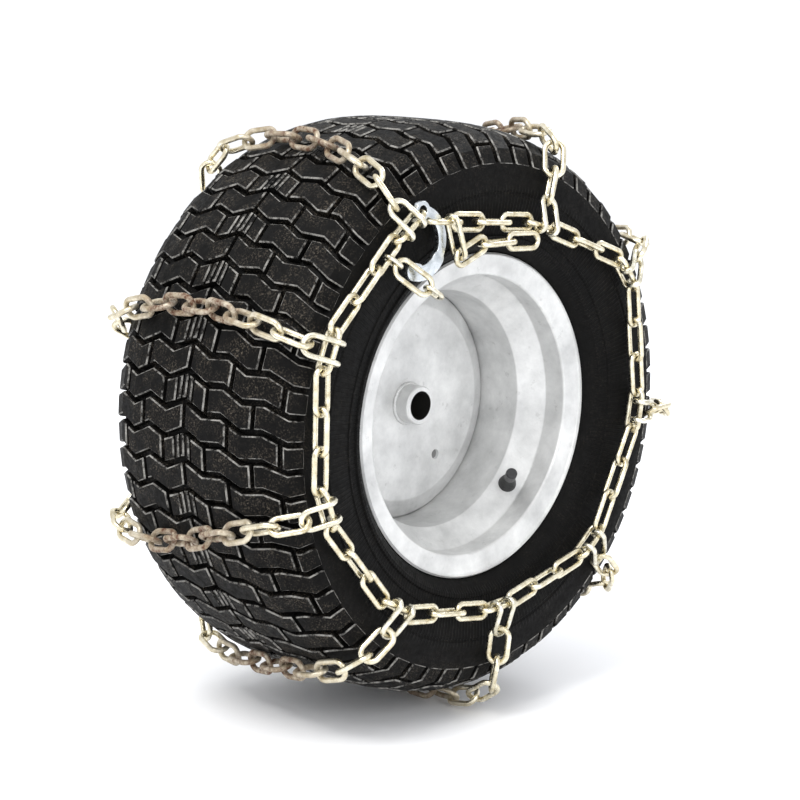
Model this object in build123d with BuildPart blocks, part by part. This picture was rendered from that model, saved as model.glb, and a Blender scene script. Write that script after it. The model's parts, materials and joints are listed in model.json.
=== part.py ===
from build123d import *
import os
from math import acos, atan2, ceil, cos, degrees, hypot, pi, radians, sin, sqrt

# Ladder snow chains fitted on a turf tyre and a stamped steel wheel.
# Millimetres. +Z is up. The wheel's axle lies along Y, its outer face looks to -Y, and the
# origin is the middle of the hub bore's axis. An angle is measured in the wheel's plane,
# from +X towards +Z.

# ---- driving dimensions: tyre and wheel ----
TYRE_RADIUS = 254.0            # 20 inch tyre, over the tread lugs
SIDEWALL_HALF_WIDTH = 112.8    # widest part of the tyre, from its middle plane
CASING_THICKNESS = 7.0         # sidewall rubber and cords
TREAD_THICKNESS = 15.0         # casing with the tread lugs on it
BEAD_SEAT_RADIUS = 126.6       # 10 inch rim
RIM_FLANGE_RADIUS = 142.0
RIM_HALF_WIDTH = 99.0          # outside of the flanges
RIM_SHEET = 3.0                # steel sheet of barrel and disc
SEAT_EDGE = 27.0               # from the flange's outside to the end of the bead seat
WELL_EDGE = 47.0               # from the flange's outside to the start of the drop centre
WELL_RADIUS = 106.0            # inside of the drop centre
DISC_Y = -15.0                 # outer face of the wheel disc
DISC_RADIUS = 89.0             # flat part of the disc
BORE_RADIUS = 12.7             # 1 inch axle
HUB_RADIUS = 17.5
HUB_OUTER_END = -31.0
HUB_INNER_END = 50.0
INDEX_HOLE = (38.0, -51.0)     # small hole through the disc, in X and Z
INDEX_HOLE_RADIUS = 4.5
VALVE_ANGLE = -42.0

# ---- driving dimensions: chains ----
SIDE_WIRE = 4.8                # side chains: straight links
SIDE_INSIDE = 33.6
SIDE_WIDTH = 18.0
SIDE_PLANE = 123.0             # side chain's middle plane, from the tyre's middle plane
LINKS_PER_SECTION = 4
SECTION = 129.5                # straight distance from one cross chain to the next
OUTER_RADII = (212, 222, 213, 190, 166, 182, 190, 204, 173)
OUTER_START = 124.5            # angle of the first cross chain's outer end
INNER_RADII = (192, 184, 192, 208, 224, 212, 206, 196, 216)
INNER_START = 122.0
CROSS_WIRE = 5.0               # cross chains: shorter, heavier links
CROSS_INSIDE = 27.6
CROSS_WIDTH = 21.4
CROSS_LIFT = 9.4               # cross chain's centre line above the tread
CROSS_BOW = (-8, -4, 3, 0, 0, 0, 0, 0, 0)   # sideways bow of each cross chain, in degrees
CROSS_TILT = 45.0              # links lie on the tread at this angle, one way then the other
END_TILT = 58.0                # the links in the hooks stand steeper
HOOK_WIRE = 5.0
HOOK_BEND = 8.4                # bend radius of the hook's round end
HOOK_REACH = 26.0              # from the side link's bar to the hook's round end
HOOK_CURL = 215.0              # how far each leg curls round the side link's bar
HOOK_CURL_RADIUS = 5.15        # from the bar's middle to the middle of the curled wire
INNER_HOOK_BEND = 7.2
GAP = 0.3                      # least slack between two links
SIDE_RADIUS = 205.0            # where a cross chain's line leaves the tyre's side
SQUARENESS = 3.8               # how squarely that line rounds the shoulder
LINE_STEPS = 400
CORE_RADIUS = 150.0            # circle inside the tyre that the links' outer faces look away from

# ---- driving dimensions: fastener ----
LEVER_THICKNESS = 5.0
LEVER_WIDTH = 9.0              # band from the eye through the chain's last link
LEVER_BEND = 26.0              # radius of the lever's curve
LEVER_TIP_WIDTH = 13.0          # the free half is broader
LEVER_TIP_TURN = 74.0          # and this many degrees long
LEVER_NOTCH_TURN = 12.0        # step on the inner edge of the tip
LEVER_NOTCH_DEPTH = 2.0
LEVER_TIP_ANGLE = -108.0
NECK_SLACK = 4.9               # the lever crosses the link that holds it at a slant
EYE_HOLE_RADIUS = 4.6
EYE_RADIUS = 8.2
EYE_REACH = 1.0                # the eye's middle is this far past the end wire it hangs on
KEEPER_INSIDE = 34.0
KEEPER_WIDTH = 21.0
SMALL_WIRE = 4.0               # small links of the keeper
SMALL_INSIDE = 12.4
SMALL_WIDTH = 13.4
KEEPER_ANGLE = -37.0           # the keeper points down and towards the wheel's middle
KEEPER_LEAN = 18.0             # and lies over the lever's tip
LEVER_PULL = (-95.0, 188.0)    # the first carrier link points here, in X and Z
CATCH = (-94.4, 177.6)         # end of the tight chain, where it holds the lever
TAIL_PLACE = 5.0               # the loose tail hangs this far from the middle of the last tight link
TAIL_DROP = 70.0               # first link of the loose tail points down this steeply
TAIL_RISES = (22.0, 1.0, -2.0)  # slopes of its other links

HALF_PITCH = SIDE_INSIDE / 2 - GAP
SIDE_BEND = (SIDE_WIDTH - SIDE_WIRE) / 2   # bend radius of a side link's ends
END_WIRE = (SIDE_INSIDE + SIDE_WIRE) / 2   # from a side link's middle to its end wire
HUNG = END_WIRE - SIDE_WIRE - GAP          # from a wire to the middle of a side link hung on it
OUTER, INNER = -1, 1
os.makedirs("parts", exist_ok=True)


def save(solid, label):
    """Label one finished piece and write it."""
    solid.label = label
    export_step(solid, f"parts/{label}.step")


def wheel_point(radius, angle, y):
    """Point at a radius and an angle in the wheel's plane, y along the axle."""
    return Vector(radius * cos(radians(angle)), y, radius * sin(radians(angle)))


def flat_place(centre, along):
    """A link lying flat against the tyre's side, its length along the given direction."""
    return Plane(origin=centre, x_dir=along, z_dir=Vector(0, 1, 0))


def edge_place(centre, along):
    """A link standing on edge on the tyre's side."""
    return Plane(origin=centre, x_dir=along, z_dir=along.cross(Vector(0, 1, 0)))


def oval_link(inside, width, wire):
    """Closed straight-sided link: length along X, flat in XY, centred on the origin."""
    bend = (width - wire) / 2
    straight = inside + wire - 2 * bend
    with BuildPart() as link:
        with BuildSketch(Plane.YZ.offset(-straight / 2)):
            with Locations((bend, 0), (-bend, 0)):
                Circle(wire / 2)
        extrude(amount=straight)
        for end in (1, -1):
            with BuildSketch(Plane.YZ.offset(end * straight / 2)):
                with Locations((bend, 0)):
                    Circle(wire / 2)
            revolve(axis=Axis((end * straight / 2, 0, 0), (0, 0, -end)), revolution_arc=180)
    return link.part


def chain_of(link, places):
    """The same link at each of several places, as separate solids."""
    return Compound(children=[place.location * link for place in places])


# ---- tyre and wheel ----
def make_tyre():
    """Hollow tyre; its outside is the smooth envelope over the tread lugs."""
    half = SIDEWALL_HALF_WIDTH
    rim = RIM_HALF_WIDTH
    with BuildPart() as tyre:
        with BuildSketch(Plane.XY):
            with BuildLine():
                outside = Spline(
                    (TYRE_RADIUS, 0), (TYRE_RADIUS - 0.9, half * 0.40), (TYRE_RADIUS - 6, half * 0.74),
                    tangents=[(0, 1), (-0.35, 1)])
                shoulder = Line(outside @ 1, (TYRE_RADIUS - 23, half - 3))
                side = Spline(
                    shoulder @ 1, (TYRE_RADIUS - 56, half), (RIM_FLANGE_RADIUS + 10, half - 7),
                    tangents=[(-1, 0.18), (-0.8, -0.6)])
                bead = Polyline(
                    side @ 1, (RIM_FLANGE_RADIUS + 1, rim - 6), (RIM_FLANGE_RADIUS - 4, rim - 7.5),
                    (BEAD_SEAT_RADIUS + 0.4, rim - 8.5), (BEAD_SEAT_RADIUS + 0.4, rim - 24),
                    (BEAD_SEAT_RADIUS + 12, rim - 20))
                inside = Spline(
                    bead @ 1, (TYRE_RADIUS - 70, half - CASING_THICKNESS),
                    (TYRE_RADIUS - 32, half - 20), (TYRE_RADIUS - TREAD_THICKNESS, 0),
                    tangents=[(1, 0.5), (0, -1)])
                Line(inside @ 1, outside @ 0)
            make_face()
            mirror(about=Plane.XZ)
        revolve(axis=Axis.Y)
    return tyre.part


def make_rim_barrel():
    """Rolled rim with flanges, bead seats and a drop centre, open at both ends."""
    edge = RIM_HALF_WIDTH
    seat = BEAD_SEAT_RADIUS - RIM_SHEET
    with BuildPart() as barrel:
        with BuildSketch(Plane.XY):
            with BuildLine():
                skin = FilletPolyline(
                    (RIM_FLANGE_RADIUS, edge), (RIM_FLANGE_RADIUS, edge - RIM_SHEET), (seat, edge - 5.5),
                    (seat, edge - SEAT_EDGE), (WELL_RADIUS, edge - WELL_EDGE), (WELL_RADIUS, 0), radius=2.4)
                Polyline(
                    skin @ 1, (WELL_RADIUS + RIM_SHEET, 0), (WELL_RADIUS + RIM_SHEET, edge - WELL_EDGE - 1.3),
                    (seat + RIM_SHEET, edge - SEAT_EDGE - 1.3), (seat + RIM_SHEET, edge - 8.3),
                    (RIM_FLANGE_RADIUS - 5, edge - 6.2), (RIM_FLANGE_RADIUS - 0.6, edge - 5.6),
                    (RIM_FLANGE_RADIUS + 1.6, edge - 1.8), skin @ 0)
            make_face()
            mirror(about=Plane.XZ)
        revolve(axis=Axis.Y)
        with BuildSketch(valve_plane()):
            Circle(5.9)
        extrude(amount=12, both=True, mode=Mode.SUBTRACT)
    return barrel.part


def valve_plane():
    """Plane on the slope beside the drop centre, square to the sheet, facing the wheel's centre."""
    low = wheel_point(WELL_RADIUS, VALVE_ANGLE, WELL_EDGE - RIM_HALF_WIDTH)
    high = wheel_point(BEAD_SEAT_RADIUS - RIM_SHEET, VALVE_ANGLE, SEAT_EDGE - RIM_HALF_WIDTH)
    slope = (high - low).normalized()
    around = wheel_point(1, VALVE_ANGLE + 90, 0)
    return Plane(origin=(low + high) * 0.5, x_dir=around, z_dir=slope.cross(around))


def make_wheel_disc():
    """Pressed disc: flat centre, rolled shoulder, and a rim welded inside the drop centre."""
    reach = WELL_RADIUS
    with BuildPart() as disc:
        with BuildSketch(Plane.XY):
            with BuildLine():
                face = FilletPolyline(
                    (HUB_RADIUS, DISC_Y), (DISC_RADIUS, DISC_Y), (reach, DISC_Y + 7),
                    (reach, DISC_Y + 24), radius=5)
                offset(amount=RIM_SHEET, side=Side.LEFT)
            make_face()
        revolve(axis=Axis.Y)
        with BuildSketch(Plane.XZ.offset(-DISC_Y)):
            with Locations(INDEX_HOLE):
                Circle(INDEX_HOLE_RADIUS)
        extrude(amount=RIM_SHEET * 2, both=True, mode=Mode.SUBTRACT)
    return disc.part


def make_hub_tube():
    """Plain tube for the axle, chamfered at both ends."""
    with BuildPart() as hub:
        with BuildSketch(Plane.XZ.offset(-HUB_INNER_END)):
            Circle(HUB_RADIUS)
            Circle(BORE_RADIUS, mode=Mode.SUBTRACT)
        extrude(amount=HUB_INNER_END - HUB_OUTER_END)
        chamfer(hub.edges().filter_by(GeomType.CIRCLE).group_by(SortBy.RADIUS)[-1], 1.0)
    return hub.part


def make_valve_stem():
    """Rubber snap-in valve stem, with its threaded brass end left inside the cap."""
    with BuildPart() as stem:
        with BuildSketch(Plane.XZ):
            with BuildLine():
                Polyline(
                    (0, -9), (8.5, -9), (9.2, -3.4), (5.8, -3.2), (5.8, 0.1), (8.2, 0.4), (7.4, 5),
                    (5.6, 12), (4.6, 17), (3.8, 17), (3.8, 26), (0, 26), (0, -9))
            make_face()
        revolve(axis=Axis.Z)
    return valve_plane().location * stem.part


def make_valve_cap():
    """Screw cap over the end of the valve stem."""
    with BuildPart() as cap:
        with BuildSketch(Plane.XY.offset(17.6)):
            Circle(5.2)
        extrude(amount=12.4)
        fillet(cap.edges().sort_by(Axis.Z)[-1], 1.6)
        with BuildSketch(Plane.XY.offset(17.6)):
            Circle(3.85)
        extrude(amount=8.8, mode=Mode.SUBTRACT)
    return valve_plane().location * cap.part


save(make_tyre(), "tyre")
save(make_rim_barrel(), "rim_barrel")
save(make_wheel_disc(), "wheel_disc")
save(make_hub_tube(), "hub_tube")
save(make_valve_stem(), "valve_stem")
save(make_valve_cap(), "valve_cap")


# ---- side chains ----
def junction_points(radii, start, side):
    """Where the cross chains join a side chain: the same straight distance from one to the next."""
    angle = start
    points = [wheel_point(radii[0], angle, side * SIDE_PLANE)]
    for near, far in zip(radii, radii[1:]):
        angle += degrees(acos((near**2 + far**2 - SECTION**2) / (2 * near * far)))
        points.append(wheel_point(far, angle, side * SIDE_PLANE))
    return points


def junction_directions(points, before, after):
    """Direction of the side chain at each junction, halfway between its two neighbours'."""
    line = [before, *points, after]
    return [
        ((line[i + 1] - line[i]).normalized() + (line[i + 2] - line[i + 1]).normalized()).normalized()
        for i in range(len(points))]


def straight_places(first, last, count):
    """Places of links from a first middle to a last one; they lie flat and stand on edge by turns."""
    along = (last - first).normalized()
    places = []
    for i in range(count):
        centre = first + (last - first) * (i / (count - 1))
        place = flat_place if i % 2 == 0 else edge_place
        places.append(place(centre, along))
    return places


def section_places(points, directions, i):
    """One section: the link that carries the cross chain, and the links up to the next one."""
    start = points[i] + directions[i] * END_WIRE
    end = points[i + 1] - directions[i + 1] * END_WIRE
    way = (end - start).normalized()
    carrier = edge_place(points[i], directions[i])
    return [carrier, *straight_places(start + way * HUNG, end - way * HUNG, LINKS_PER_SECTION - 1)]


# ---- cross chains and their hooks ----
def cross_line(start, end, bow):
    """Centre line of a cross chain, as close points, from the outer side chain to the inner one."""
    rise = TYRE_RADIUS + CROSS_LIFT - SIDE_RADIUS
    profile = []
    for i in range(LINE_STEPS + 1):
        turn = pi * (i / LINE_STEPS - 0.5)
        across = SIDE_PLANE * abs(sin(turn)) ** (2 / SQUARENESS)
        side = OUTER if i < LINE_STEPS / 2 else INNER
        radius = SIDE_RADIUS + rise * abs(cos(turn)) ** (2 / SQUARENESS)
        lowest = hypot(start.X, start.Z) if side == OUTER else hypot(end.X, end.Z)
        if radius > lowest:
            profile.append((side * across, radius))
    profile.insert(0, (OUTER * SIDE_PLANE, hypot(start.X, start.Z)))
    profile.append((INNER * SIDE_PLANE, hypot(end.X, end.Z)))
    walked = walked_lengths([Vector(across, radius, 0) for across, radius in profile])
    first = degrees(atan2(start.Z, start.X)) % 360
    swing = (degrees(atan2(end.Z, end.X)) - first + 180) % 360 - 180
    line = []
    for (across, radius), length in zip(profile, walked):
        share = length / walked[-1]
        eased = share - sin(2 * pi * share) / (2 * pi)
        line.append(wheel_point(radius, first + swing * eased + bow * sin(pi * share) ** 2, across))
    return line


def walked_lengths(points):
    """Length along a line of points, at each of them."""
    walked = [0.0]
    for one, two in zip(points, points[1:]):
        walked.append(walked[-1] + (two - one).length)
    return walked


def hook_frame(junction, along, side, line):
    """How a hook stands: the bar it grips, and the directions of its reach and of its face."""
    outward = Vector(0, side, 0)
    radial = Vector(junction.X, 0, junction.Z).normalized()
    up = (radial - along * radial.dot(along)).normalized()
    bar = junction + outward * SIDE_BEND
    target = next(p for p in line if (p - bar).length > hypot(HOOK_REACH, HOOK_CURL_RADIUS)) - bar
    lean = atan2(-target.dot(outward), target.dot(up)) + atan2(HOOK_CURL_RADIUS, HOOK_REACH)
    reach = up * cos(lean) - outward * sin(lean)
    face = up * sin(lean) + outward * cos(lean)
    return bar, reach, face


def make_hook(bar, reach, face):
    """U of wire: its round end holds the cross chain, its two legs curl round the side link."""
    sideways = reach.cross(face)
    straight = HOOK_REACH - HOOK_BEND
    top = bar + face * HOOK_CURL_RADIUS + reach * straight
    with BuildPart() as hook:
        for leg in (1, -1):
            grip = bar + sideways * (leg * HOOK_BEND)
            section = Plane(origin=grip + face * HOOK_CURL_RADIUS, x_dir=face, z_dir=reach)
            with BuildSketch(section):
                Circle(HOOK_WIRE / 2)
            extrude(amount=straight)
            with BuildSketch(section):
                Circle(HOOK_WIRE / 2)
            revolve(axis=Axis(grip, sideways), revolution_arc=HOOK_CURL)
        with BuildSketch(Plane(origin=top, x_dir=sideways, z_dir=reach)):
            with Locations((HOOK_BEND, 0)):
                Circle(HOOK_WIRE / 2)
        revolve(axis=Axis(top, face), revolution_arc=180)
    return hook.part


def held_point(bar, reach, face):
    """Where the chain in a hook begins, just inside the hook's round end."""
    slack = HOOK_WIRE / 2 + GAP
    return bar + face * HOOK_CURL_RADIUS + reach * (HOOK_REACH - slack)


def cross_places(line, begin, end):
    """Places of a cross chain's links, laid along its line between two held points."""
    half = len(line) // 2
    first = min(range(half), key=lambda i: (line[i] - begin).length)
    last = min(range(half, len(line)), key=lambda i: (line[i] - end).length)
    middle = [p for p in line[first:last] if min((p - begin).length, (p - end).length) > CROSS_INSIDE * 0.7]
    run = [begin, *middle, end]
    walked = walked_lengths(run)
    count = ceil(walked[-1] / (CROSS_INSIDE - GAP))
    joints = []
    for j in range(count + 1):
        goal = walked[-1] * j / count
        i = max(k for k, length in enumerate(walked) if length <= goal + 1e-6)
        i = min(i, len(run) - 2)
        rest = (goal - walked[i]) / (walked[i + 1] - walked[i])
        joints.append(run[i] + (run[i + 1] - run[i]) * rest)
    places = []
    for j, (one, two) in enumerate(zip(joints, joints[1:])):
        centre = (one + two) * 0.5
        along = (two - one).normalized()
        core = Vector(centre.X, 0, centre.Z).normalized() * CORE_RADIUS
        up = centre - core
        up = (up - along * up.dot(along)).normalized()
        tilt = END_TILT if j in (0, count - 1) else CROSS_TILT
        lean = radians(tilt if j % 2 == 0 else -tilt)
        normal = up * cos(lean) + along.cross(up) * sin(lean)
        places.append(Plane(origin=centre, x_dir=along, z_dir=normal))
    return places


# ---- the fastener on the outer side ----
def lever_centre(eye, neck):
    """Centre of the lever's curve, which runs through its eye and its neck."""
    chord = neck - eye
    middle = (eye + neck) * 0.5
    inward = Vector(chord.Z, 0, -chord.X).normalized()
    return middle + inward * sqrt(LEVER_BEND**2 - (chord.length / 2) ** 2)


def make_lever(eye, neck):
    """Flat curved lever: an eye at one end, a broad notched tip at the other."""
    centre = lever_centre(eye, neck)
    start = degrees(atan2(eye.Z - centre.Z, eye.X - centre.X))
    body = CenterArc((centre.X, centre.Z), LEVER_BEND, start, LEVER_TIP_ANGLE - start)
    tip = CenterArc((centre.X, centre.Z), LEVER_BEND, LEVER_TIP_ANGLE, LEVER_TIP_TURN)
    step = CenterArc(
        (centre.X, centre.Z), LEVER_BEND - LEVER_NOTCH_DEPTH / 2, LEVER_TIP_ANGLE, LEVER_NOTCH_TURN)
    with BuildPart() as lever:
        with BuildSketch(Plane.XZ.offset(SIDE_PLANE - LEVER_THICKNESS / 2)):
            SlotArc(body, LEVER_WIDTH)
            SlotArc(tip, LEVER_TIP_WIDTH)
            SlotArc(step, LEVER_TIP_WIDTH + LEVER_NOTCH_DEPTH)
            with Locations((eye.X, eye.Z)):
                Circle(EYE_RADIUS)
                Circle(EYE_HOLE_RADIUS, mode=Mode.SUBTRACT)
        extrude(amount=LEVER_THICKNESS)
    return lever.part


def lined_up(origin, axis_dir, normal, offsets):
    """Places in one line from an origin, each turned a quarter from the one before."""
    across = normal.cross(axis_dir)
    faces = (across, normal)
    return [
        Plane(origin=origin + axis_dir * offset, x_dir=axis_dir, z_dir=faces[i % 2])
        for i, offset in enumerate(offsets)]


# ---- the closing hook on the inner side ----
def make_inner_hook(eye_wire, hook_wire):
    """Wire hook: a closed eye on the link behind it, an open hook for the last link."""
    along = (hook_wire - eye_wire).normalized()
    inward = Vector(0, 1, 0)
    across = inward.cross(along)
    nearer = INNER_HOOK_BEND - (SIDE_WIRE + HOOK_WIRE) / 2 - GAP
    eye = eye_wire + along * nearer
    bend = hook_wire - along * nearer
    with BuildPart() as hook:
        with BuildSketch(Plane(origin=eye, x_dir=across, z_dir=along)):
            with Locations((INNER_HOOK_BEND, 0)):
                Circle(HOOK_WIRE / 2)
        revolve(axis=Axis(eye, inward), revolution_arc=360)
        with BuildSketch(Plane(origin=eye, x_dir=across, z_dir=along)):
            with Locations((INNER_HOOK_BEND, 0)):
                Circle(HOOK_WIRE / 2)
        extrude(amount=(bend - eye).length)
        with BuildSketch(Plane(origin=bend, x_dir=across, z_dir=along)):
            with Locations((INNER_HOOK_BEND, 0)):
                Circle(HOOK_WIRE / 2)
        revolve(axis=Axis(bend, inward), revolution_arc=-225)
    return hook.part


side_link = oval_link(SIDE_INSIDE, SIDE_WIDTH, SIDE_WIRE)
cross_link = oval_link(CROSS_INSIDE, CROSS_WIDTH, CROSS_WIRE)
small_link = oval_link(SMALL_INSIDE, SMALL_WIDTH, SMALL_WIRE)
keeper_link = oval_link(KEEPER_INSIDE, KEEPER_WIDTH, SIDE_WIRE)

# outer side chain
outer_points = junction_points(OUTER_RADII, OUTER_START, OUTER)
lever_pull = Vector(LEVER_PULL[0], OUTER * SIDE_PLANE, LEVER_PULL[1])
catch = Vector(CATCH[0], OUTER * SIDE_PLANE, CATCH[1])
outer_along = junction_directions(outer_points, lever_pull, catch)
outer_sections = [section_places(outer_points, outer_along, i) for i in range(8)]
for number, places in enumerate(outer_sections, 1):
    save(chain_of(side_link, places), f"outer_side_chain_{number}")
tight_start = outer_points[8] + outer_along[8] * END_WIRE
pull_way = (catch - tight_start).normalized()
tight_places = straight_places(tight_start + pull_way * HUNG, catch - pull_way * HALF_PITCH, 4)
save(
    chain_of(side_link, [edge_place(outer_points[8], outer_along[8]), *tight_places]),
    "outer_closing_chain")

# inner side chain
inner_points = junction_points(INNER_RADII, INNER_START, INNER)
inner_along = junction_directions(inner_points, inner_points[8], inner_points[0])
for number in range(1, 9):
    places = section_places(inner_points, inner_along, number - 1)
    save(chain_of(side_link, places), f"inner_side_chain_{number}")
slack_start = inner_points[8] + inner_along[8] * END_WIRE
slack_way = (inner_points[0] - inner_along[0] * END_WIRE - slack_start).normalized()
slack_first = slack_start + slack_way * HUNG
slack_places = straight_places(slack_first, slack_first + slack_way * (6 * HALF_PITCH), 4)
save(
    chain_of(side_link, [edge_place(inner_points[8], inner_along[8]), *slack_places]),
    "inner_closing_chain")
inner_eye_wire = inner_points[0] - inner_along[0] * END_WIRE
inner_hook_wire = slack_places[3].origin + slack_way * END_WIRE
save(make_inner_hook(inner_eye_wire, inner_hook_wire), "inner_closing_hook")

# cross chains, each with a hook at both ends
inner_hooks = []
for i in range(9):
    line = cross_line(outer_points[i], inner_points[i], CROSS_BOW[i])
    outer_frame = hook_frame(outer_points[i], outer_along[i], OUTER, line)
    inner_frame = hook_frame(inner_points[i], inner_along[i], INNER, line[::-1])
    places = cross_places(line, held_point(*outer_frame), held_point(*inner_frame))
    save(chain_of(cross_link, places), f"cross_chain_{i + 1}")
    save(make_hook(*outer_frame), f"outer_cross_hook_{i + 1}")
    inner_hooks.append(make_hook(*inner_frame))
save(Compound(children=inner_hooks), "inner_cross_hooks")

# tightening lever, on the first carrier link and through the last link of the tight chain
lever_eye = outer_points[0] - outer_along[0] * (END_WIRE + EYE_REACH)
lever_neck = catch - pull_way * (LEVER_WIDTH / 2 + NECK_SLACK)
save(make_lever(lever_eye, lever_neck), "tightening_lever")

# keeper: a small shackle on the side chain, a long link over the lever's tip, a small end link
host = outer_sections[0][1]
keeper_down = Vector(cos(radians(KEEPER_ANGLE)), 0, sin(radians(KEEPER_ANGLE)))
keeper_way = keeper_down * cos(radians(KEEPER_LEAN)) - Vector(0, sin(radians(KEEPER_LEAN)), 0)
keeper_normal = Vector(0, -cos(radians(KEEPER_LEAN)), 0) - keeper_down * sin(radians(KEEPER_LEAN))
keeper_bar = host.origin + keeper_down * SIDE_BEND
hang = (SIDE_WIRE + SMALL_WIRE) / 2 + GAP
small_centre = (SMALL_INSIDE + SMALL_WIRE) / 2
keeper_centre = (KEEPER_INSIDE + SIDE_WIRE) / 2
offsets = [small_centre - hang]
offsets.append(offsets[0] + small_centre - hang + keeper_centre)
offsets.append(offsets[1] + keeper_centre - hang + small_centre)
shackle, long_link, end_link = lined_up(keeper_bar, keeper_way, keeper_normal, offsets)
save(chain_of(small_link, [shackle]), "keeper_shackle")
save(chain_of(keeper_link, [long_link]), "keeper_link")
save(chain_of(small_link, [end_link]), "keeper_end_link")

# loose tail of the side chain, hanging from the last tight link
tail_bar = tight_places[3].origin + Vector(TAIL_PLACE, OUTER * SIDE_BEND, 0)
tail_down = Vector(cos(radians(TAIL_DROP)), 0, -sin(radians(TAIL_DROP)))
first_tail = tail_bar + tail_down * (END_WIRE - (SIDE_WIRE + GAP) / sin(radians(TAIL_DROP)))
tail_places = [edge_place(first_tail, tail_down)]
tail_end, tail_way = first_tail + tail_down * END_WIRE, tail_down
for i, rise in enumerate(TAIL_RISES):
    way = Vector(cos(radians(rise)), 0, sin(radians(rise)))
    if i % 2 == 0:
        centre = tail_end + way * HUNG
        tail_places.append(flat_place(centre, way))
    else:
        centre = tail_end - tail_way * SIDE_BEND + way * (SIDE_BEND + HUNG)
        tail_places.append(edge_place(centre, way))
    tail_end, tail_way = centre + way * END_WIRE, way
save(chain_of(side_link, tail_places), "loose_tail")
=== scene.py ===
"""Ladder snow chains fitted on a turf tyre and a stamped steel wheel.

Lengths are metres. The axle runs along Y, the outer face looks to -Y and +Z is up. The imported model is
the frame: its nodes keep their places, and the pieces made here ride on its bodies.
"""

import json
import logging
from collections.abc import Sequence
from dataclasses import dataclass
from enum import Enum
from math import cos, hypot, pi, radians, sin

import bpy
import numpy as np
from mathutils import Matrix, Vector


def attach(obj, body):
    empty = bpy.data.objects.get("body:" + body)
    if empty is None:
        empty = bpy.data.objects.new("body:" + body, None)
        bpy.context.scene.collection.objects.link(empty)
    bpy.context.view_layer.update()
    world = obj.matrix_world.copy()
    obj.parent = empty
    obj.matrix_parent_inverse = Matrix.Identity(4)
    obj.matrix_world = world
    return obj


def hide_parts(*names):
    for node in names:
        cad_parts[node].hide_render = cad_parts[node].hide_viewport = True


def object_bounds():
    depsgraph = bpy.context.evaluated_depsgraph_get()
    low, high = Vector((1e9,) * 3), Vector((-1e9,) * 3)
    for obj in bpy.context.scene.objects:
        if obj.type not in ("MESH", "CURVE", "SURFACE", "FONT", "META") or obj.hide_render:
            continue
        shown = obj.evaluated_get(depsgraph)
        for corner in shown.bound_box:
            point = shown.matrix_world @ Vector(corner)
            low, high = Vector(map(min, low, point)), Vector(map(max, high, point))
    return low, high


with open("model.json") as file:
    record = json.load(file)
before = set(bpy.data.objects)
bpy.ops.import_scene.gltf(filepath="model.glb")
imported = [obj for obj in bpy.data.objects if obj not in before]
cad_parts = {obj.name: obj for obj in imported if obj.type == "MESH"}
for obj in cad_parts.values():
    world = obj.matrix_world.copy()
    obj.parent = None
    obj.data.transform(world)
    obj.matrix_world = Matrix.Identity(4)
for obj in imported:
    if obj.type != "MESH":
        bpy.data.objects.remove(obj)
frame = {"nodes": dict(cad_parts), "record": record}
CAD_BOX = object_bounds()
MM = 0.001
log = logging.getLogger("snow_chains")

Colour = tuple[float, float, float]


class Body(Enum):
    """The bodies of the model that pieces made here ride on."""

    WHEEL = "wheel"
    LEVER = "lever"


# ---------------------------------------------------------------- mesh helpers
def deselect_all() -> None:
    """Leave nothing selected, so that an operator acts on new pieces only."""
    if bpy.context.object and bpy.context.object.mode != "OBJECT":
        bpy.ops.object.mode_set(mode="OBJECT")
    bpy.ops.object.select_all(action="DESELECT")


def make_active(piece: bpy.types.Object) -> None:
    """Select one piece alone and make it the active one."""
    deselect_all()
    piece.select_set(True)
    bpy.context.view_layer.objects.active = piece


def new_mesh(name: str, points: Sequence, edges: Sequence, faces: Sequence) -> bpy.types.Object:
    """Make a mesh object from its points, edges and faces, at the origin.

    Args:
        name: The piece's name.
        points: Places of the points.
        edges: Pairs of point numbers.
        faces: Rings of point numbers.

    Returns:
        The new object.
    """
    mesh = bpy.data.meshes.new(name)
    mesh.from_pydata([tuple(p) for p in points], [tuple(e) for e in edges], [tuple(f) for f in faces])
    mesh.update()
    piece = bpy.data.objects.new(name, mesh)
    bpy.context.scene.collection.objects.link(piece)
    return piece


def smooth(piece: bpy.types.Object, angle: float = 35.0) -> None:
    """Shade a piece smooth, except across edges sharper than the angle in degrees."""
    make_active(piece)
    bpy.ops.object.shade_smooth_by_angle(angle=radians(angle))


def face_outwards(piece: bpy.types.Object, merge: float = 1e-6) -> None:
    """Merge a piece's doubled points and turn all its faces outwards."""
    make_active(piece)
    bpy.ops.object.mode_set(mode="EDIT")
    bpy.ops.mesh.select_all(action="SELECT")
    bpy.ops.mesh.remove_doubles(threshold=merge)
    bpy.ops.mesh.normals_make_consistent(inside=False)
    bpy.ops.object.mode_set(mode="OBJECT")


def lathe(name: str, ring: Sequence[tuple[float, float]], steps: int) -> bpy.types.Object:
    """Turn a closed section round the axle.

    Args:
        name: The piece's name.
        ring: The section's corners as (radius, place along the axle), in order.
        steps: How many stretches the turn has.

    Returns:
        The turned piece, closed, with its faces outwards.
    """
    points = [(radius, along, 0.0) for radius, along in ring]
    edges = [(i, (i + 1) % len(ring)) for i in range(len(ring))]
    piece = new_mesh(name, points, edges, [])
    make_active(piece)
    bpy.ops.object.mode_set(mode="EDIT")
    bpy.ops.mesh.select_all(action="SELECT")
    bpy.ops.mesh.spin(steps=steps, angle=2 * pi, center=(0, 0, 0), axis=(0, 1, 0))
    bpy.ops.object.mode_set(mode="OBJECT")
    face_outwards(piece)
    return piece


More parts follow.
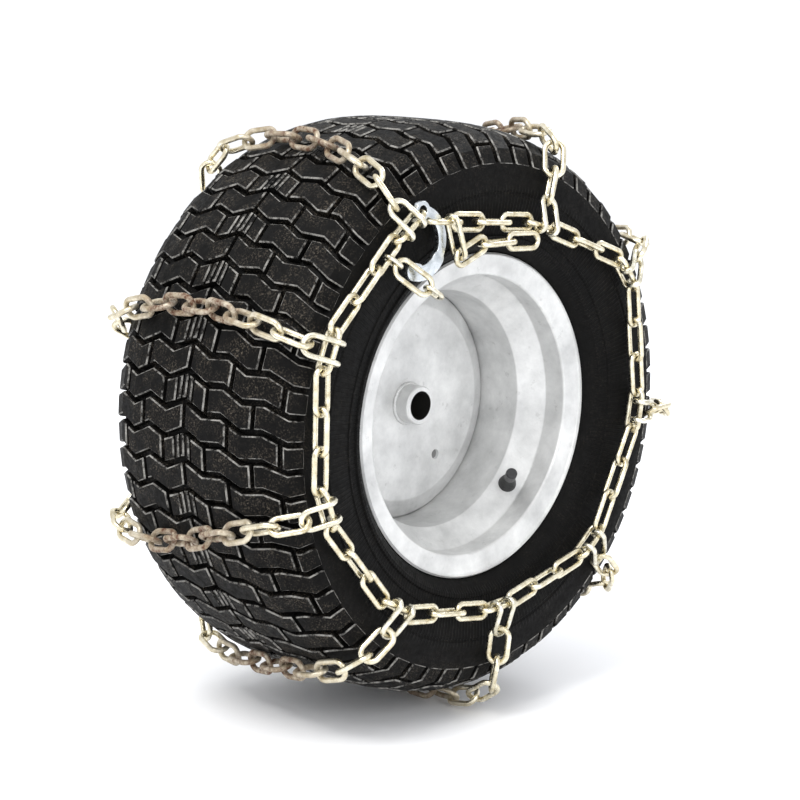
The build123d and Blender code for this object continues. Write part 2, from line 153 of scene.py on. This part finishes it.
def tube_ring(name: str, path: Sequence[Vector], wire: float, sides: int = 8) -> bpy.types.Object:
    """Make a closed ring of round wire.

    Args:
        name: The piece's name.
        path: Points along the wire's middle, once round.
        wire: The wire's diameter.
        sides: How many faces go round the wire.

    Returns:
        The ring as a mesh.
    """
    count = len(path)
    points = []
    for i, here in enumerate(path):
        way = (path[(i + 1) % count] - path[i - 1]).normalized()
        out = (here - way * here.dot(way)).normalized()
        side = way.cross(out)
        for j in range(sides):
            turn = 2 * pi * j / sides
            points.append(here + (out * cos(turn) + side * sin(turn)) * (wire / 2))
    faces = []
    for i in range(count):
        for j in range(sides):
            k = (i + 1) % count
            m = (j + 1) % sides
            faces.append((i * sides + j, i * sides + m, k * sides + m, k * sides + j))
    return new_mesh(name, points, [], faces)


# ---------------------------------------------------------------- materials
class Shader:
    """A node material under construction, with short calls for the nodes it needs."""

    def __init__(self, name: str) -> None:
        """Start a material with a plain shader."""
        self.material = bpy.data.materials.new(name)
        self.material.use_nodes = True
        self.tree = self.material.node_tree
        self.surface = self.tree.nodes["Principled BSDF"]
        self.coordinates = self.node("ShaderNodeTexCoord").outputs["Object"]

    def node(self, kind: str, **settings) -> bpy.types.Node:
        """Add a node with the given settings."""
        made = self.tree.nodes.new(kind)
        for key, value in settings.items():
            setattr(made, key, value)
        return made

    def wire(self, source: bpy.types.NodeSocket, target: bpy.types.NodeSocket) -> None:
        """Join two sockets."""
        self.tree.links.new(source, target)

    def noise(self, scale: float, detail: float = 4.0, rough: float = 0.55) -> bpy.types.NodeSocket:
        """Noise on the piece's own coordinates.

        Args:
            scale: Grains in a metre.
            detail: Octaves.
            rough: Strength of the finer octaves.

        Returns:
            The noise's value.
        """
        made = self.node("ShaderNodeTexNoise")
        made.inputs["Scale"].default_value = scale
        made.inputs["Detail"].default_value = detail
        made.inputs["Roughness"].default_value = rough
        self.wire(self.coordinates, made.inputs["Vector"])
        return made.outputs["Fac"]

    def span(self, source: bpy.types.NodeSocket, low: float, high: float,
             to_low: float = 0.0, to_high: float = 1.0) -> bpy.types.NodeSocket:
        """Stretch a value from one range to another, clamped."""
        made = self.node("ShaderNodeMapRange", clamp=True)
        made.inputs["From Min"].default_value = low
        made.inputs["From Max"].default_value = high
        made.inputs["To Min"].default_value = to_low
        made.inputs["To Max"].default_value = to_high
        self.wire(source, made.inputs["Value"])
        return made.outputs["Result"]

    def maths(self, operation: str, *values) -> bpy.types.NodeSocket:
        """Work out one value from others, which are sockets or numbers."""
        made = self.node("ShaderNodeMath", operation=operation)
        for slot, value in zip(made.inputs, values):
            if isinstance(value, (int, float)):
                slot.default_value = value
            else:
                self.wire(value, slot)
        return made.outputs["Value"]

    def mix(self, share: bpy.types.NodeSocket, one, two) -> bpy.types.NodeSocket:
        """Mix two colours, which are sockets or colours, by a share."""
        made = self.node("ShaderNodeMix", data_type="RGBA")
        self.wire(share, made.inputs["Factor"])
        for slot, colour in ((made.inputs[6], one), (made.inputs[7], two)):
            if isinstance(colour, tuple):
                slot.default_value = (*colour, 1)
            else:
                self.wire(colour, slot)
        return made.outputs[2]

    def axes(self) -> tuple[bpy.types.NodeSocket, bpy.types.NodeSocket, bpy.types.NodeSocket]:
        """The piece's own x, y and z."""
        made = self.node("ShaderNodeSeparateXYZ")
        self.wire(self.coordinates, made.inputs["Vector"])
        return made.outputs["X"], made.outputs["Y"], made.outputs["Z"]

    def radius(self) -> bpy.types.NodeSocket:
        """The distance from the axle."""
        x, _, z = self.axes()
        squares = [self.maths("MULTIPLY", part, part) for part in (x, z)]
        return self.maths("SQRT", self.maths("ADD", *squares))

    def attribute(self, name: str) -> bpy.types.NodeSocket:
        """A value stored on the piece's faces."""
        return self.node("ShaderNodeAttribute", attribute_name=name).outputs["Fac"]

    def bump(self, height: bpy.types.NodeSocket, depth: float, strength: float = 1.0) -> None:
        """Roughen the surface by a height, in metres; calls add up."""
        made = self.node("ShaderNodeBump")
        made.inputs["Strength"].default_value = strength
        made.inputs["Distance"].default_value = depth
        self.wire(height, made.inputs["Height"])
        normal = self.surface.inputs["Normal"]
        if normal.is_linked:
            self.wire(normal.links[0].from_socket, made.inputs["Normal"])
        self.wire(made.outputs["Normal"], normal)

    def set(self, socket: str, value) -> None:
        """Give one of the shader's sockets a number, a colour or another socket."""
        target = self.surface.inputs[socket]
        if isinstance(value, bpy.types.NodeSocket):
            self.wire(value, target)
        else:
            target.default_value = (*value, 1) if isinstance(value, tuple) else value


@dataclass(frozen=True)
class Rubber:
    """Black tyre rubber: dusty lug tops, lug edges lightened by wear and by a painted highlight, fine moulding
    lines on the sidewall.
    """

    name: str = "tyre_rubber"
    black: Colour = (0.0030, 0.0029, 0.0028)
    dust: Colour = (0.095, 0.080, 0.062)
    highlit_wear_and_dark_middle: Colour = (0.27, 0.262, 0.245)
    sidewall_lines: int = 300
    lines_from: float = 0.150
    lines_to: float = 0.205

    def build(self) -> bpy.types.Material:
        """Make the material."""
        shader = Shader(self.name)
        patches = shader.span(shader.noise(48, 6), 0.40, 0.66)
        grain = shader.noise(620, 4, 0.7)
        speckle = shader.span(grain, 0.52, 0.66)
        radius = shader.radius()
        tread = shader.span(radius, self.lines_to + 0.010, self.lines_to + 0.030, 0.15, 1.0)
        dusty = shader.maths("MULTIPLY", shader.maths("MULTIPLY", patches, speckle), tread)
        colour = shader.mix(dusty, self.black, self.dust)
        # Lug bevels lightened in patches: partly wear, partly a painted highlight along the lug edges.
        scuffs = shader.span(shader.noise(110, 7, 0.75), 0.42, 0.60)
        scuffed_and_highlit = shader.maths("MULTIPLY", shader.attribute("edge"), scuffs)
        colour = shader.mix(scuffed_and_highlit, colour, self.highlit_wear_and_dark_middle)
        shader.set("Base Color", colour)
        shader.set("Roughness", shader.span(shader.noise(220, 5), 0.3, 0.7, 0.46, 0.74))
        shader.set("Specular IOR Level", 0.08)
        shader.bump(grain, 0.00025, 0.7)
        x, _, z = shader.axes()
        turn = shader.maths("ARCTAN2", z, x)
        line = shader.maths("SINE", shader.maths("MULTIPLY", turn, self.sidewall_lines))
        inside = shader.maths("MULTIPLY", shader.span(radius, self.lines_from, self.lines_from + 0.004),
                              shader.span(radius, self.lines_to, self.lines_to - 0.006))
        shader.bump(shader.maths("MULTIPLY", shader.span(line, 0.2, 1.0), inside), 0.0005, 0.8)
        return shader.material


@dataclass(frozen=True)
class Paint:
    """Silver-white baked paint on pressed steel, with faint mottling and dirt spots; the back of the wheel and the
    axle hole are darkened as painted shade.
    """

    name: str = "rim_paint"
    silver: Colour = (0.46, 0.463, 0.460)
    bright: Colour = (0.76, 0.762, 0.752)
    grime_and_shade: Colour = (0.12, 0.115, 0.11)
    bore_shade: Colour = (0.02, 0.019, 0.018)
    bore_radius: float = 0.0131
    painted_back_shade: float = -0.012

    def build(self) -> bpy.types.Material:
        """Make the material."""
        shader = Shader(self.name)
        cloud = shader.span(shader.noise(26, 6, 0.65), 0.3, 0.72)
        flake = shader.noise(1400, 2)
        colour = shader.mix(cloud, self.silver, self.bright)
        colour = shader.mix(shader.span(shader.noise(90, 8, 0.75), 0.60, 0.78, 0.0, 0.6), colour, self.grime_and_shade)
        colour = shader.mix(shader.span(flake, 0.62, 0.75, 0.0, 0.25), colour, self.bright)
        # Painted shade: the back of the wheel, past the disc's outer face along the axle, is darkened.
        painted_back_shade = shader.span(shader.axes()[1], self.painted_back_shade, self.painted_back_shade + 0.05, 0.0, 0.85)
        colour = shader.mix(painted_back_shade, colour, self.grime_and_shade)
        # Painted shade: the axle hole, within a small radius of the axle, is painted near black.
        painted_bore_shade = shader.maths("LESS_THAN", shader.radius(), self.bore_radius)
        shader.set("Base Color", shader.mix(painted_bore_shade, colour, self.bore_shade))
        shader.set("Metallic", 0.3)
        shader.set("Roughness", shader.span(shader.noise(60, 5), 0.3, 0.7, 0.28, 0.46))
        shader.set("Coat Weight", 0.25)
        shader.set("Coat Roughness", 0.2)
        shader.bump(shader.noise(420, 3), 0.00012, 0.5)
        return shader.material


@dataclass(frozen=True)
class Zinc:
    """Yellowish zinc plate on chain wire, with dark brown spots; the links grow darker brown towards the middle of
    the tread.
    """

    name: str
    bright: Colour = (0.93, 0.88, 0.72)
    dull: Colour = (0.50, 0.43, 0.27)
    dark_brown: Colour = (0.10, 0.042, 0.02)
    dark_middle_reach: float = 0.0
    spots: float = 0.4

    def build(self) -> bpy.types.Material:
        """Make the material."""
        shader = Shader(self.name)
        cloud = shader.span(shader.noise(120, 5, 0.6), 0.32, 0.70)
        colour = shader.mix(cloud, self.bright, self.dull)
        dark_marks = shader.span(shader.noise(260, 6, 0.7), 0.58, 0.74, 0.0, self.spots)
        # The links turn darker brown, in patches, towards the middle of the tread.
        if self.dark_middle_reach > 0:
            along = shader.maths("ABSOLUTE", shader.axes()[1])
            near = shader.span(along, self.dark_middle_reach, self.dark_middle_reach * 0.35)
            patch = shader.span(shader.noise(180, 6, 0.7), 0.60, 0.38)
            highlit_wear_and_dark_middle = shader.maths("MULTIPLY", near, shader.span(patch, 0.0, 1.0, 0.5, 1.0))
            dark_marks = shader.maths("MAXIMUM", dark_marks, highlit_wear_and_dark_middle)
        shader.set("Base Color", shader.mix(dark_marks, colour, self.dark_brown))
        shader.set("Metallic", shader.span(dark_marks, 0.0, 0.8, 1.0, 0.25))
        shine = shader.span(shader.noise(340, 4), 0.3, 0.7, 0.20, 0.36)
        shader.set("Roughness", shader.maths("MAXIMUM", shine, shader.span(dark_marks, 0.0, 1.0, 0.2, 0.8)))
        shader.bump(shader.noise(900, 3), 0.00012, 0.5)
        return shader.material


@dataclass(frozen=True)
class Moulded:
    """Moulded rubber or plastic of one colour, faintly mottled."""

    name: str
    colour: Colour
    roughness: float

    def build(self) -> bpy.types.Material:
        """Make the material."""
        shader = Shader(self.name)
        lighter = tuple(c * 2.2 for c in self.colour)
        shader.set("Base Color", shader.mix(shader.span(shader.noise(300, 5), 0.4, 0.75), self.colour, lighter))
        shader.set("Roughness", shader.span(shader.noise(500, 3), 0.3, 0.7, self.roughness - 0.08,
                                            self.roughness + 0.1))
        shader.bump(shader.noise(1500, 2), 0.0001, 0.4)
        return shader.material


RUBBER = Rubber().build()
RIM_PAINT = Paint().build()
SIDE_ZINC = Zinc("side_zinc").build()
CROSS_ZINC = Zinc("cross_zinc", dark_middle_reach=0.105, spots=0.5).build()
FASTENER_ZINC = Zinc("fastener_zinc", bright=(0.90, 0.87, 0.75), dull=(0.50, 0.46, 0.34)).build()
LEVER_ZINC = Zinc("lever_zinc", bright=(0.78, 0.82, 0.85), dull=(0.46, 0.50, 0.53), spots=0.2).build()
VALVE_RUBBER = Moulded("valve_rubber", (0.006, 0.006, 0.006), 0.5).build()
CAP_PLASTIC = Moulded("cap_plastic", (0.008, 0.008, 0.009), 0.35).build()
SLOT_MATERIALS = {
    "tyre": RUBBER, "rim_paint": RIM_PAINT, "valve_rubber": VALVE_RUBBER, "cap_plastic": CAP_PLASTIC,
    "side_zinc": SIDE_ZINC, "cross_zinc": CROSS_ZINC, "fastener_zinc": FASTENER_ZINC}


def dress(piece: bpy.types.Object, material: bpy.types.Material) -> None:
    """Give a piece one material all over."""
    piece.data.materials.clear()
    piece.data.materials.append(material)


def finish_piece(piece: bpy.types.Object, body: Body, slot: str, *nodes: str) -> bpy.types.Object:
    """Dress a new piece, put it on its body and hide the nodes it stands for.

    Args:
        piece: The finished piece.
        body: The body it moves with.
        slot: The record's material slot.
        nodes: The model's nodes that it stands for.

    Returns:
        The same piece.
    """
    dress(piece, SLOT_MATERIALS[slot])
    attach(piece, body.value)
    if nodes:
        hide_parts(*nodes)
    log.info("%s: %d faces on %s", piece.name, len(piece.data.polygons), body.value)
    return piece


# ---------------------------------------------------------------- tyre
@dataclass
class TurfTyre:
    """The tyre: a casing with a moulded sidewall, and rows of zigzag lugs all round the tread."""

    radius: float = 254.0 * MM
    half_width: float = 112.8 * MM
    side_radius: float = 205.0 * MM
    squareness: float = 3.2
    lug_depth: float = 8.0 * MM
    lug_end_radius: float = 221.0 * MM
    rows: int = 64
    row_gap: float = 5.6 * MM
    block_gap: float = 4.4 * MM
    bevel: float = 1.1 * MM
    spread: float = 0.8 * MM
    zigzag_step: float = 22.0 * MM
    outer_rises: tuple[float, ...] = (0.0, 10.0, 8.0, 18.0, 16.0, 25.0, 25.0)
    inner_rises: tuple[float, ...] = (0.0, 9.0, 1.0, 10.0, 2.0, 9.0, 9.0)
    even_breaks: tuple[float, ...] = (-78.0, -26.0, 26.0, 78.0)
    odd_breaks: tuple[float, ...] = (-104.0, -52.0, 0.0, 52.0, 104.0)
    slat: float = 4.2 * MM
    slat_gap: float = 2.2 * MM
    casing_steps: int = 180

    def __post_init__(self) -> None:
        """Work out the tread's section, from the middle to where it meets the side."""
        turn = np.linspace(0, pi / 2, 400)
        power = 2 / self.squareness
        self.across = self.half_width * np.sin(turn) ** power
        self.height = self.side_radius + (self.radius - self.side_radius) * np.cos(turn) ** power
        steps = np.hypot(np.diff(self.across), np.diff(self.height))
        self.walked = np.concatenate([[0.0], np.cumsum(steps)])
        self.edge = float(np.interp(-self.lug_end_radius, -self.height, self.walked))

    def section(self, along: float, rise: float) -> tuple[float, float]:
        """A point of the tread's section.

        Args:
            along: Length along the section from the middle, negative on the outer side.
            rise: Height above the tread's envelope.

        Returns:
            The point's radius and its place along the axle.
        """
        step = 0.4 * MM
        here = abs(along)
        one, two = max(here - step, 0.0), here + step
        radius = float(np.interp(here, self.walked, self.height))
        across = float(np.interp(here, self.walked, self.across))
        fall = float(np.interp(two, self.walked, self.height) - np.interp(one, self.walked, self.height))
        run = float(np.interp(two, self.walked, self.across) - np.interp(one, self.walked, self.across))
        length = hypot(fall, run)
        radius += rise * run / length
        across -= rise * fall / length
        return radius, across if along >= 0 else -across

    def zigzag(self, along: float) -> float:
        """How far a groove has moved round the tread at a place across it."""
        rises = self.outer_rises if along < 0 else self.inner_rises
        places = [i * self.zigzag_step for i in range(len(rises))]
        return float(np.interp(abs(along), places, rises)) * MM

    def place(self, along: float, round_: float, rise: float) -> Vector:
        """The point at a place across the tread, a length round it and a height above it."""
        radius, across = self.section(along, rise)
        angle = round_ / self.radius
        return Vector((radius * cos(angle), across, radius * sin(angle)))

    def blocks(self, row: int) -> list[tuple[float, float]]:
        """Where the blocks of one row begin and end across the tread."""
        breaks = self.odd_breaks if row % 2 else self.even_breaks
        ends = [-self.edge, *[b * MM for b in breaks], self.edge]
        half = self.block_gap / 2
        spans = []
        for low, high in zip(ends, ends[1:]):
            low = low + half if low > -self.edge else low
            high = high - half if high < self.edge else high
            spans.append((low, high))
        if row % 2 == 0:
            low, high = spans.pop(2)
            pitch = self.slat + self.slat_gap
            comb = 1.5 * pitch
            spans.append((low, -comb))
            spans += [(-comb + pitch * i + self.slat_gap, -comb + pitch * (i + 1)) for i in range(3)]
            spans.append((comb + self.slat_gap, high))
        return spans

    def lug(self, low: float, high: float, start: float, length: float) -> tuple[list, list, list]:
        """One lug, with tapered sides and a bevelled rim.

        Args:
            low: Where it begins across the tread.
            high: Where it ends.
            start: Where it begins round the tread, on the middle line.
            length: Its length round the tread.

        Returns:
            Its points, its faces, and for each face whether it is the rim's bevel.
        """
        corners = [side * i * self.zigzag_step for side in (-1, 1) for i in range(7)]
        stops = sorted({low, high, *[c for c in corners if low + 3 * MM < c < high - 3 * MM]})
        levels = [
            (-self.lug_depth - MM, -self.spread), (-self.bevel, 0.0), (0.0, self.bevel)]
        points: list[Vector] = []
        for rise, inset in levels:
            near, far = [], []
            for stop in stops:
                place = min(max(stop, low + inset), high - inset)
                if stop in (low, high):
                    place = low + inset if stop == low else high - inset
                bend = start + self.zigzag(place)
                near.append(self.place(place, bend + inset, rise))
                far.append(self.place(place, bend + length - inset, rise))
            points += near + far[::-1]
        ring = 2 * len(stops)
        faces, rims = [], []
        for level in range(2):
            for i in range(ring):
                j = (i + 1) % ring
                a, b = level * ring, (level + 1) * ring
                faces.append((a + i, a + j, b + j, b + i))
                rims.append(level == 1)
        top = 2 * ring
        for base in (0, top):
            for i in range(len(stops) - 1):
                quad = (base + i, base + i + 1, base + ring - 2 - i, base + ring - 1 - i)
                faces.append(quad)
                rims.append(False)
        return points, faces, rims

    def make_tread(self) -> bpy.types.Object:
        """All the lugs: two rows, repeated round the tyre."""
        pitch = 2 * pi * self.radius / self.rows
        points: list[Vector] = []
        faces: list[tuple[int, ...]] = []
        rims: list[bool] = []
        for row in range(2):
            for low, high in self.blocks(row):
                made, rings, bevels = self.lug(low, high, row * pitch, pitch - self.row_gap)
                faces += [tuple(i + len(points) for i in f) for f in rings]
                points += made
                rims += bevels
        base = np.array(points)
        all_points, all_faces = [], []
        for k in range(self.rows // 2):
            turn = 4 * pi * k / self.rows
            matrix = np.array([[cos(turn), 0, -sin(turn)], [0, 1, 0], [sin(turn), 0, cos(turn)]])
            all_points.append(base @ matrix.T)
            all_faces += [tuple(i + k * len(base) for i in f) for f in faces]
        tread = new_mesh("tread_lugs", np.vstack(all_points).tolist(), [], all_faces)
        mark = tread.data.attributes.new("edge", "FLOAT", "FACE")
        mark.data.foreach_set("value", np.array(rims * (self.rows // 2), np.float32))
        make_active(tread)
        bpy.ops.object.mode_set(mode="EDIT")
        bpy.ops.mesh.select_all(action="SELECT")
        bpy.ops.mesh.normals_make_consistent(inside=False)
        bpy.ops.object.mode_set(mode="OBJECT")
        return tread

    def half_section(self) -> list[tuple[float, float]]:
        """The casing's section on the inner side, from the tread's middle round to the inside's middle."""
        floor = [self.section(a, -self.lug_depth) for a in np.linspace(0, self.edge - 5 * MM, 22)]
        side_end = float(self.walked[-1])
        shoulder = [self.section(a, -0.6 * MM) for a in np.linspace(self.edge - 1 * MM, side_end, 8)]
        side = [
            (201, 113.0), (198, 113.0), (197, 112.3), (195.5, 112.3), (194.5, 113.0), (190, 112.8),
            (184, 112.2), (176, 111.0), (170, 109.8), (169.2, 110.6), (167.4, 110.2), (166.6, 109.0), (160, 107.7),
            (158.8, 109.1), (155.4, 108.3), (153.6, 106.2), (150, 103.6), (146, 99.6), (143, 93.5),
            (138, 91.5), (127.0, 90.5), (127.0, 75.0), (138.6, 79.0), (150, 92), (168, 103.2), (184, 105.8),
            (205, 102.5), (222, 92.8), (233, 70), (238, 40), (239, 0)]
        return floor + shoulder + [(r * MM, y * MM) for r, y in side]

    def make_casing(self) -> bpy.types.Object:
        """The hollow casing under the lugs."""
        half = self.half_section()
        ring = half + [(r, -y) for r, y in reversed(half[1:-1])]
        casing = lathe("tyre_casing", ring, self.casing_steps)
        smooth(casing, 30)
        return casing

    def build(self) -> None:
        """Make and dress the tyre."""
        finish_piece(self.make_casing(), Body.WHEEL, "tyre", "tyre")
        finish_piece(self.make_tread(), Body.WHEEL, "tyre")


# ---------------------------------------------------------------- wheel
@dataclass
class SteelWheel:
    """The rim, disc and hub keep their shape; the weld beads between them are added."""

    bead: float = 3.4 * MM
    hub_radius: float = 17.8 * MM
    disc_face: float = -15.6 * MM
    ripple: float = 0.5 * MM
    ripples: int = 34

    def weld(self, name: str, radius: float, along: float, ripples: int) -> bpy.types.Object:
        """A rippled bead of weld round the axle.

        Args:
            name: The piece's name.
            radius: The bead's radius from the axle.
            along: Its place along the axle.
            ripples: How many waves it has.

        Returns:
            The bead.
        """
        steps = ripples * 6
        path = []
        for i in range(steps):
            turn = 2 * pi * i / steps
            wave = self.ripple * 0.5 * cos(turn * ripples)
            path.append(Vector(((radius + wave) * cos(turn), along, (radius + wave) * sin(turn))))
        ring = tube_ring(name, path, self.bead, 8)
        smooth(ring, 60)
        return ring

    def build(self) -> None:
        """Add the weld beads, painted like the rim."""
        outer = self.weld("hub_weld_outer", self.hub_radius, self.disc_face, self.ripples)
        inner = self.weld("hub_weld_inner", self.hub_radius, self.disc_face + 4.4 * MM, self.ripples)
        for bead in (outer, inner):
            finish_piece(bead, Body.WHEEL, "rim_paint")


# ---------------------------------------------------------------- fastener
@dataclass
class BevelledCopy:
    """A copy of one of the model's nodes with its edges broken."""

    node: str
    name: str
    body: Body
    slot: str
    bevel: float = 0.7 * MM

    def build(self) -> bpy.types.Object:
        """Copy the node, clean its mesh and bevel its edges."""
        source = frame["nodes"][self.node]
        piece = bpy.data.objects.new(self.name, source.data.copy())
        bpy.context.scene.collection.objects.link(piece)
        make_active(piece)
        bpy.ops.object.mode_set(mode="EDIT")
        bpy.ops.mesh.select_all(action="SELECT")
        bpy.ops.mesh.remove_doubles(threshold=1e-6)
        bpy.ops.mesh.dissolve_limited(angle_limit=radians(1.0))
        bpy.ops.object.mode_set(mode="OBJECT")
        rounding = piece.modifiers.new("rounding", "BEVEL")
        rounding.width = self.bevel
        rounding.segments = 3
        rounding.limit_method = "ANGLE"
        rounding.angle_limit = radians(50)
        rounding.use_clamp_overlap = True
        bpy.ops.object.modifier_apply(modifier=rounding.name)
        smooth(piece, 40)
        return finish_piece(piece, self.body, self.slot, self.node)


# ---------------------------------------------------------------- studio
@dataclass
class Studio:
    """Camera, pale floor and soft lights."""

    azimuth: float = -46.2
    elevation: float = 9.8
    roll: float = 1.6
    distance: float = 2.22
    lens: float = 111.0
    shift: tuple[float, float] = (0.0054, 0.0011)
    floor_size: float = 60.0
    floor_colour: Colour = (0.93, 0.935, 0.95)
    sky: float = 1.12

    def direction(self, azimuth: float, elevation: float) -> Vector:
        """The way from the wheel's middle to something seen at these angles."""
        a, e = radians(azimuth), radians(elevation)
        return Vector((sin(a) * cos(e), -cos(a) * cos(e), sin(e)))

    def add_camera(self) -> None:
        """The camera looks at the wheel's middle."""
        data = bpy.data.cameras.new("camera")
        data.lens = self.lens
        data.shift_x, data.shift_y = self.shift
        camera = bpy.data.objects.new("camera", data)
        bpy.context.scene.collection.objects.link(camera)
        back = self.direction(self.azimuth, self.elevation)
        right = Vector((0, 0, 1)).cross(back).normalized()
        up = back.cross(right)
        tilt = radians(self.roll)
        turned = right * cos(tilt) + up * sin(tilt)
        upright = back.cross(turned)
        frame_axes = Matrix((turned, upright, back)).transposed()
        camera.matrix_world = Matrix.Translation(back * self.distance) @ frame_axes.to_4x4()
        bpy.context.scene.camera = camera

    def add_softbox(self, name: str, azimuth: float, elevation: float, away: float, size: float,
                    power: float, colour: Colour) -> None:
        """A square soft light that looks at the wheel.

        Args:
            name: The light's name.
            azimuth: Its direction round the wheel, as for the camera.
            elevation: Its height in degrees.
            away: Its distance.
            size: Its side.
            power: Its power in watts.
            colour: Its colour.
        """
        data = bpy.data.lights.new(name, "AREA")
        data.size = size
        data.energy = power
        data.color = colour
        light = bpy.data.objects.new(name, data)
        bpy.context.scene.collection.objects.link(light)
        way = self.direction(azimuth, elevation)
        light.location = way * away
        light.rotation_euler = way.to_track_quat("Z", "Y").to_euler()

    def add_floor(self, height: float) -> None:
        """A wide pale floor under the tyre."""
        deselect_all()
        bpy.ops.mesh.primitive_plane_add(size=self.floor_size, location=(0, 0, height))
        floor = bpy.context.object
        floor.name = "floor"
        shader = Shader("floor_paper")
        shader.set("Base Color", self.floor_colour)
        shader.set("Roughness", 0.9)
        shader.set("Specular IOR Level", 0.1)
        floor.data.materials.append(shader.material)

    def build(self, height: float) -> None:
        """Set up the whole studio over a floor at the given height."""
        scene = bpy.context.scene
        scene.view_settings.view_transform = "Standard"
        world = bpy.data.worlds.new("studio")
        world.use_nodes = True
        background = world.node_tree.nodes["Background"]
        background.inputs["Color"].default_value = (0.97, 0.98, 1.0, 1)
        background.inputs["Strength"].default_value = self.sky
        scene.world = world
        self.add_camera()
        self.add_floor(height)
        self.add_softbox("key", -78, 50, 2.6, 1.1, 46, (1.0, 0.99, 0.97))
        self.add_softbox("front", -20, 22, 3.0, 1.2, 20, (1.0, 1.0, 1.0))
        self.add_softbox("rim", 95, 40, 2.8, 1.0, 22, (0.95, 0.97, 1.0))


def dress_nodes() -> None:
    """Give every node of the model that stays the finish of its slot."""
    for row in frame["record"]["subparts"]:
        node = frame["nodes"][row["node"]]
        dress(node, SLOT_MATERIALS[row["material_slot"]])


def main() -> None:
    """Build the pieces in order."""
    logging.basicConfig(level=logging.INFO, format="%(name)s %(message)s")
    dress_nodes()
    TurfTyre().build()
    SteelWheel().build()
    lever = BevelledCopy("tightening_lever", "lever_plate", Body.LEVER, "fastener_zinc").build()
    dress(lever, LEVER_ZINC)
    Studio().build(CAD_BOX[0][2])


if __name__ == "__main__":
    main()
